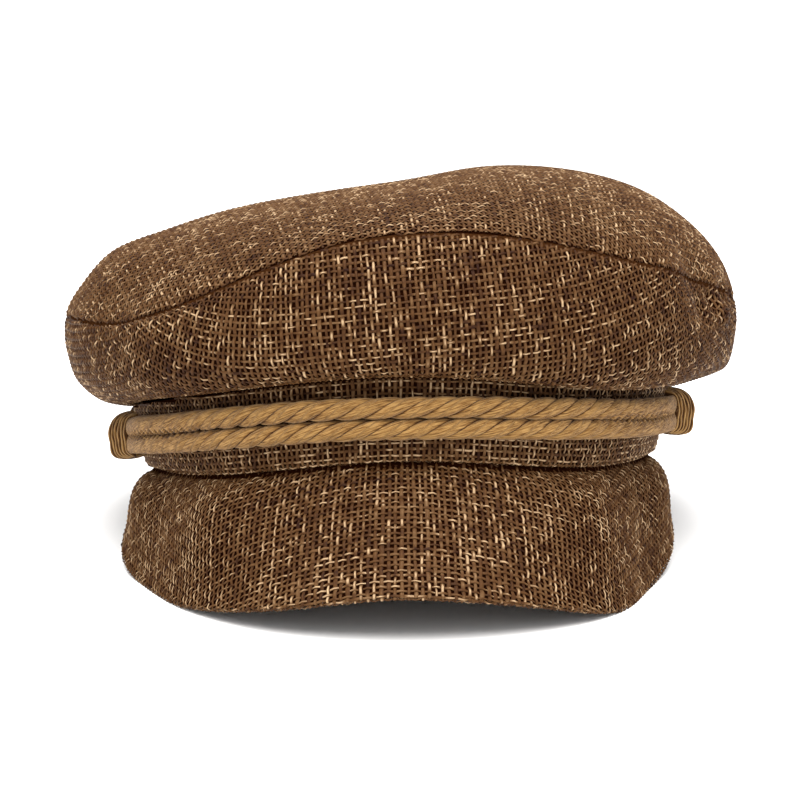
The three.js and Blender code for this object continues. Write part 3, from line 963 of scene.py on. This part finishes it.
STRANDS = 3
STRAND_SIDES = 20
STRAND_RINGS = 12  # along the rope from one strand to the next
STRAND_SHARE = 0.58  # a strand's radius as a share of the rope's
STRAND_WIDE = 1.16  # how much wider than thick it is
STRAND_APART = 400  # makes each strand's fibres its own
FIBRE_TURN = 0.9  # how much of the rope's own turn the fibres follow
STITCH = 3.3  # between the stitches that pucker the pressed rope
PUCKER = 1.5  # how far they draw it in
# Angles from the front between which the rope gets pressed flat, and goes under a keeper.
PRESSED = (math.radians(33), math.radians(58))
UNDER = (math.radians(63), math.radians(75.5))
# How much the pressed rope's strands close in, swell, lose the painted shade of their grooves and darken, as
# shares.
PRESSED_IN, PRESSED_SWELL, PRESSED_GROOVES, PRESSED_DARK = 0.42, 0.25, 0.5, 0.08
PRESSED_NEAR, UNDER_NEAR = 0.1, 0.12  # how far the two runs close up, as shares
# Under a keeper, how much thinner the rope is and how far it sinks, as shares.
UNDER_FLAT, UNDER_SINK = 0.5, 0.3
LOWER_STAND = 1.7  # how much further out the lower run stands there
# How far the runs lean on each other, how much more on the right, and between which angles.
LEAN, LEAN_MORE, LEAN_AT = 0.42, 0.24, (0.1, 0.5)

KEEPER_THREADS = 6
KEEPER_THREAD = 1.95  # a thread's thickness
KEEPER_SIDES, KEEPER_RINGS = 12, 60
# How far out the first thread lies, and how much further the last, in rope widths.
KEEPER_OUT = (0.46, 0.62)
KEEPER_STAND = 2.0  # how much further out a keeper's lower half stands
KEEPER_STAND_AT = (0.9, 2.3)  # where this begins and ends round the loop
KEEPER_ROOT = 0.8  # how deep in the band a thread begins
KEEPER_SHORT = 1.2  # how much lower the first thread's loop is than the two runs
KEEPER_LONGER = 0.8  # how much higher the last one's is
KEEPER_SWAY = 0.3
KEEPER_SQUARE = (0.55, 0.6)  # powers that make the loop squarer than a circle
THREAD_GROOVE = 0.8  # the sine from which a thread's side is in its groove
THREAD_SHADE_AND_HIGHLIGHT = (0.85, -0.2)  # painted shade on a thread's side in its groove, and painted highlight on its ridge (below 0)

FUZZ_COUNT = 3600
FUZZ_WIDTH = 0.035
FUZZ_ROOT = 0.93  # how far out its fibres begin, as a share of the rope's radius
FUZZ_REACH, FUZZ_LIFT = (0.7, 2.4), (0.05, 0.6)  # from and to
FUZZ_SWAY, FUZZ_CURL = 0.4, 0.35


def points_at(line, far, at):
    """Points at some distances along a line, whose own points are at the distances far."""
    return np.stack([np.interp(at, far, line[:, k]) for k in range(3)], -1)


def closed_curve(points, count):
    """Evenly spaced points along a smooth closed curve through points, with how far along each is."""
    n = len(points)
    x = np.arange(n * 24) / 24
    fine = np.stack([smooth(points[:, k], x, closed=True) for k in range(3)], -1)
    step = np.linalg.norm(np.roll(fine, -1, 0) - fine, axis=-1)
    far = np.concatenate([[0], np.cumsum(step)])
    at = np.linspace(0, far[-1], count + 1)[:-1]
    return points_at(np.concatenate([fine, fine[:1]]), far, at), at, far[-1]


def rope_route():
    """The rope's middle line: the upper run, a turn, the lower run and a turn."""
    away = ROPE_DIAMETER / 2 + SEAM_GAP
    half = ROPE_SPACING / 2
    points = []
    for way in (1, -1):
        for k in range(41):
            angle = way * ROPE_END * (-1 + 2 * k / 40)
            points.append(off_band(np.array(angle), rope_height(angle) + way * half, away))
        for k in range(1, 6):
            turn = math.pi * k / 6
            radius = BAND_WIDTH / 2 + BAND_FLARE
            angle = way * (ROPE_END + half * math.sin(turn) / radius)
            height = rope_height(angle) + way * half * math.cos(turn)
            points.append(off_band(np.array(angle), height, away))
    return np.array(points)


def frames_along(route):
    """The direction along a closed route, the way out from the cap's middle, and the third way."""
    tangent = unit(np.roll(route, -1, 0) - np.roll(route, 1, 0))
    radial = unit(route * np.array([1 / BAND_WIDTH**2, 1 / BAND_DEPTH**2, 0]))
    out = unit(radial - tangent * (radial * tangent).sum(-1, keepdims=True))
    return tangent, out, np.cross(tangent, out)


def tube_faces(rows, sides):
    """Quads between the rings of an open tube."""
    i = np.arange(rows - 1)[:, None] * sides
    s = np.arange(sides)[None]
    t = (s + 1) % sides
    quads = np.broadcast_arrays(i + s, i + sides + s, i + sides + t, i + t)
    return np.stack(quads, -1).reshape(-1, 4)


def tube(route, radius, sides, out, beside):
    """Vertices and faces of an open tube along a route, with a radius for each ring."""
    turn = math.tau * np.arange(sides) / sides
    verts = route[:, None] + radius[:, None, None] * (
        out[:, None] * np.cos(turn)[None, :, None] + beside[:, None] * np.sin(turn)[None, :, None]
    )
    return verts.reshape(-1, 3), tube_faces(len(route), sides)


def fade(value, start, end):
    """From 0 where value is at start to 1 at end, smoothly."""
    return eased(np.clip((value - start) / (end - start), 0, 1))


def rope():
    """Three strands laid round each other. Towards its ends the doubled rope is stitched flat."""
    route = rope_route()
    _, _, length = closed_curve(route, 100)
    strand_turns = round(length / ROPE_LAY * STRANDS)
    count = strand_turns * STRAND_RINGS
    middle, at, _ = closed_curve(route, count)
    angle = np.arctan2(middle[:, 0] / BAND_WIDTH, -middle[:, 1] / BAND_DEPTH)
    pressed = fade(np.abs(angle), *PRESSED)
    under = fade(np.abs(angle), *UNDER)
    _, out, beside = frames_along(middle)
    radius = ROPE_DIAMETER / 2
    axis = off_band(angle, rope_height(angle), np.full_like(angle, ROPE_DIAMETER / 2 + SEAM_GAP))
    inward = np.sign(((axis - middle) * beside).sum(-1))[:, None]
    nearer = (PRESSED_NEAR * pressed + UNDER_NEAR * under)[:, None]
    middle = middle + (axis - middle) * nearer * UP
    # The band narrows downwards, so the lower run stands further off it.
    lower = (axis - middle)[:, 2] > 0
    middle = middle - out * ((radius * UNDER_SINK - LOWER_STAND * lower) * under)[:, None]
    # The runs lean on each other, most on the right.
    lean = (LEAN + LEAN_MORE * fade(angle, *LEAN_AT))[:, None]
    pucker = (pressed * (0.5 + 0.5 * np.cos(math.tau * at / STITCH)) ** 2)[:, None]
    strand = radius * STRAND_SHARE
    orbit = ((radius - strand) * (1 - PRESSED_IN * pressed))[:, None]
    strand_round = (strand * (1 + PRESSED_SWELL * pressed))[:, None]
    twist = math.tau * strand_turns / STRANDS * np.arange(count) / count
    sides = STRAND_SIDES
    size = count * sides
    flat = (1 - UNDER_FLAT * under)[:, None]
    verts, faces, run, across, shade_and_highlight = [], [], [], [], []
    turn = math.tau * np.arange(sides) / sides
    for s in range(STRANDS):
        lay = -twist + math.tau * s / STRANDS
        ways = np.cos(lay)[:, None], np.sin(lay)[:, None]
        # Places in the rope's cross-section: first out from the band, then beside.
        a = np.cos(turn)[None] * strand_round + orbit
        b = np.sin(turn)[None] * strand_round * STRAND_WIDE
        first = a * ways[0] - b * ways[1]
        second = a * ways[1] + b * ways[0]
        facing = np.clip(second * inward / radius, 0, 1) ** 2
        second += inward * (lean - PUCKER * pucker) * facing
        ring = middle[:, None] + out[:, None] * (first * flat)[..., None]
        ring = ring + beside[:, None] * second[..., None]
        verts.append(ring.reshape(-1, 3))
        faces.append(tube_faces(count, sides) + s * size)
        run.append(np.repeat(at, sides) + STRAND_APART * s)
        place = (turn[None] - twist[:, None] * FIBRE_TURN + math.tau * s / STRANDS) * radius
        across.append(place.ravel())
        # Painted shade: the half of each strand that faces the rope's middle, in the grooves between
        # strands, and the sides drawn in at the stitches. The pressed rope is darker all over too.
        dark = (np.cos(turn) < 0.0).astype(float)[None] * (1 - PRESSED_GROOVES * pressed[:, None])
        dark = np.maximum(dark, facing * pucker) + PRESSED_DARK * pressed[:, None]
        shade_and_highlight.append(dark.ravel())
    # Where the ring closes, each strand goes on as another one.
    for s in range(STRANDS):
        a = s * size + (count - 1) * sides + np.arange(sides)
        b = (s - strand_turns) % STRANDS * size + np.arange(sides)
        faces.append(np.stack([a, b, np.roll(b, -1), np.roll(a, -1)], 1))
    finish_cord("rope_strands", verts, faces, run, across, shade_and_highlight, "rope")


def finish_cord(name, verts, faces, run, across, shade_and_highlight, node):
    ob = mesh_object(name, placed(np.concatenate(verts)), np.concatenate(faces))
    attribute(ob, "run", np.concatenate(run))
    attribute(ob, "across", np.concatenate(across))
    attribute(ob, "shade_and_highlight", np.concatenate(shade_and_highlight))
    finish_piece(ob, MATERIALS["cotton"], node)


def keeper(side, name):
    """A loop of soft threads round both runs.

    The threads towards the front lie lower, over the pressed rope."""
    sides = KEEPER_SIDES
    thick = KEEPER_THREAD
    turn = np.linspace(0.0, math.pi, KEEPER_RINGS)
    around_thread = math.tau * np.arange(sides) / sides
    # Painted shade on each thread's sides, between the threads, and painted highlight on its front and back.
    shade = np.where(np.abs(np.sin(around_thread)) > THREAD_GROOVE, *THREAD_SHADE_AND_HIGHLIGHT)
    stand = KEEPER_STAND * fade(turn, *KEEPER_STAND_AT)
    verts, faces, run, across, shade_and_highlight = [], [], [], [], []
    for t in range(KEEPER_THREADS):
        share = t / (KEEPER_THREADS - 1)
        sway = KEEPER_SWAY * np.sin(turn * 2.2 + t * 1.7)
        along = (share - 0.5) * (KEEPER_WIDTH - thick) + sway
        place = side * (KEEPER_ANGLE + along / (BAND_WIDTH / 2 + BAND_FLARE))
        out = ROPE_DIAMETER * (KEEPER_OUT[0] + KEEPER_OUT[1] * share) + thick / 2
        bow = thick * 0.3 * math.sin(math.pi * (0.2 + 0.6 * share))
        high = (ROPE_SPACING + ROPE_DIAMETER) / 2 - KEEPER_SHORT + KEEPER_LONGER * share + bow
        reach = signed(np.sin(turn), KEEPER_SQUARE[0])
        distance = -KEEPER_ROOT + (out + KEEPER_ROOT + stand) * reach
        height = rope_height(side * KEEPER_ANGLE) + high * signed(np.cos(turn), KEEPER_SQUARE[1])
        route = off_band(place, height, distance)
        step = np.linalg.norm(np.diff(route, axis=0), axis=-1)
        far = np.concatenate([[0], np.cumsum(step)])
        even = np.linspace(0, far[-1], KEEPER_RINGS)
        route = points_at(route, far, even)
        tangent = unit(np.gradient(route, axis=0))
        beside = unit(np.cross(tangent, unit(route * np.array([1, 1, 0]))))
        width = thick / 2 * (1 + 0.08 * np.sin(even * 0.9 + t * 2.1))
        thread, quads = tube(route, width, sides, np.cross(beside, tangent), beside)
        verts.append(thread)
        faces.append(quads + t * len(thread))
        # The fibres lie in a slow turn, and no two threads are alike.
        run.append(np.repeat(even, sides) + t * 31)
        across.append((around_thread[None] * thick / 2 + even[:, None] * 0.12).ravel() + t * 11)
        shade_and_highlight.append(np.tile(shade, KEEPER_RINGS))
    finish_cord(name + "_threads", verts, faces, run, across, shade_and_highlight, name)


def fuzz():
    """Loose fibres that stand off the rope."""
    rng = np.random.default_rng(90)
    count = FUZZ_COUNT
    route, _, _ = closed_curve(rope_route(), 900)
    tangent, out, beside = frames_along(route)
    k = rng.integers(0, len(route), count)
    turn = rng.uniform(0, math.tau, count)[:, None]
    away = out[k] * np.cos(turn) + beside[k] * np.sin(turn)
    side = np.cross(tangent[k], away)
    root = route[k] + away * ROPE_DIAMETER / 2 * FUZZ_ROOT
    reach = rng.uniform(*FUZZ_REACH, count)[:, None]
    lift = rng.uniform(*FUZZ_LIFT, count)[:, None]
    sway = rng.normal(0, FUZZ_SWAY, count)[:, None]
    way = unit(tangent[k] * rng.choice([-1, 1], count)[:, None] + side * sway)
    curl = rng.normal(0, FUZZ_CURL, count)[:, None]
    rows = []
    for share in (0, 0.5, 1.0):
        place = root + way * reach * share + away * reach * lift * share**1.5
        place = place + side * curl * reach * share**2
        width = side * FUZZ_WIDTH * (1.05 - share)
        rows.append(np.stack([place - width, place + width], 1))
    verts = np.stack(rows, 1).reshape(-1, 3)
    base = np.arange(count)[:, None] * 6
    faces = np.concatenate([base + [0, 1, 3, 2], base + [2, 3, 5, 4]])
    run = np.repeat(rng.uniform(0, 400, count), 6)
    across = np.repeat(rng.uniform(0, 90, count), 6)
    finish_cord("rope_fuzz", [verts], [faces], [run], [across], [np.zeros(len(verts))], "rope")


# The table, the light and the camera

TABLE_SIZE = 6.0
TABLE_WHITE = (0.97, 0.97, 0.97, 1)
ROOM_LIGHT = 1.22
# Name, place, size, power and colour.
LIGHTS = [
    ("key", (-0.1, -1.3, 2.0), 1.6, 52, (1, 0.98, 0.95)),
    ("fill", (1.3, -0.9, 1.0), 1.4, 2, (0.97, 0.98, 1)),
    ("top", (0.05, -0.2, 2.1), 1.8, 38, (1, 1, 1)),
]
LIT_PLACE = Vector((0, 0, 0.06))
CAMERA_DISTANCE = 1.3
CAMERA_RISE = math.radians(12)
CAMERA_TARGET = Vector((0, -0.06, 0.066))
PICTURE_SIZE = 800  # pixels
MM_PER_PIXEL = 0.3186  # at the target
PIXELS_UP = -13  # how far the picture's middle is moved
SENSOR = 36


def stage():
    mat, _, shader = new_material("table_white")
    set_inputs(shader, {"Base Color": TABLE_WHITE, "Roughness": 0.9})
    size = TABLE_SIZE
    verts = [(-size, -size, 0), (size, -size, 0), (size, size, 0), (-size, size, 0)]
    floor = mesh_object("table", np.array(verts), np.array([[0, 1, 2, 3]]), False)
    floor.data.materials.append(mat)
    world = bpy.data.worlds.new("room")
    bpy.context.scene.world = world
    world.use_nodes = True
    back = world.node_tree.nodes["Background"]
    set_inputs(back, {"Color": (1, 1, 1, 1), "Strength": ROOM_LIGHT})
    for light in LIGHTS:
        add_light(*light)
    bpy.context.scene.view_settings.view_transform = "Standard"


def add_light(name, place, size, power, colour):
    light = bpy.data.lights.new(name, "AREA")
    light.shape = "DISK"
    light.size = size
    light.energy = power
    light.color = colour
    ob = new_object(name, light)
    ob.location = place
    ob.rotation_euler = (LIT_PLACE - Vector(place)).to_track_quat("-Z", "Y").to_euler()


def camera():
    """The photograph's view: from the front, about 12 degrees up and 1.3 m away."""
    cam = bpy.data.cameras.new("camera")
    ob = new_object("camera", cam)
    way = Vector((0, -math.cos(CAMERA_RISE), math.sin(CAMERA_RISE)))
    ob.location = CAMERA_TARGET + CAMERA_DISTANCE * way
    ob.rotation_euler = (CAMERA_TARGET - ob.location).to_track_quat("-Z", "Y").to_euler()
    cam.sensor_width = SENSOR
    pixels_per_mm = 1 / MM_PER_PIXEL
    cam.lens = SENSOR * (CAMERA_DISTANCE / MM * pixels_per_mm) / PICTURE_SIZE
    cam.shift_y = PIXELS_UP / PICTURE_SIZE
    cam.clip_start = 0.01
    bpy.context.scene.camera = ob


def main():
    global TURN, SHIFT
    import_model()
    TURN, SHIFT = lean_matrix()
    MATERIALS["straw"] = straw_material()
    MATERIALS["seam"] = plain_material("seam_straw", (0.03, 0.011, 0.0035), 0.9, 700, 0.5)
    MATERIALS["lining"] = plain_material("dark_lining", (0.009, 0.0021, 0.0006), 0.9, 900, 0.3)
    MATERIALS["cotton"] = cotton_material()
    panel, part = band_panel()
    cloth_panel("band", panel, "head_band", 11, BAND_WALL, part)
    cloth_panel("side_front", side_panel(-SIDE_SEAM, SIDE_SEAM, grain), "crown_side_front", 21)
    back = side_panel(SIDE_SEAM, math.tau - SIDE_SEAM, back_grain)
    cloth_panel("side_back", back, "crown_side_back", 31)
    cloth_panel("top", top_panel(), "crown_top", 41)
    seam_allowance("top_allowance", "crown_top")
    panel, part = peak_panel()
    cloth_panel("peak", panel, "peak", 61, PEAK_WALL - BACKING, part)
    rope()
    fuzz()
    keeper(-1, "keeper_left")
    keeper(1, "keeper_right")
    stage()
    camera()


main()
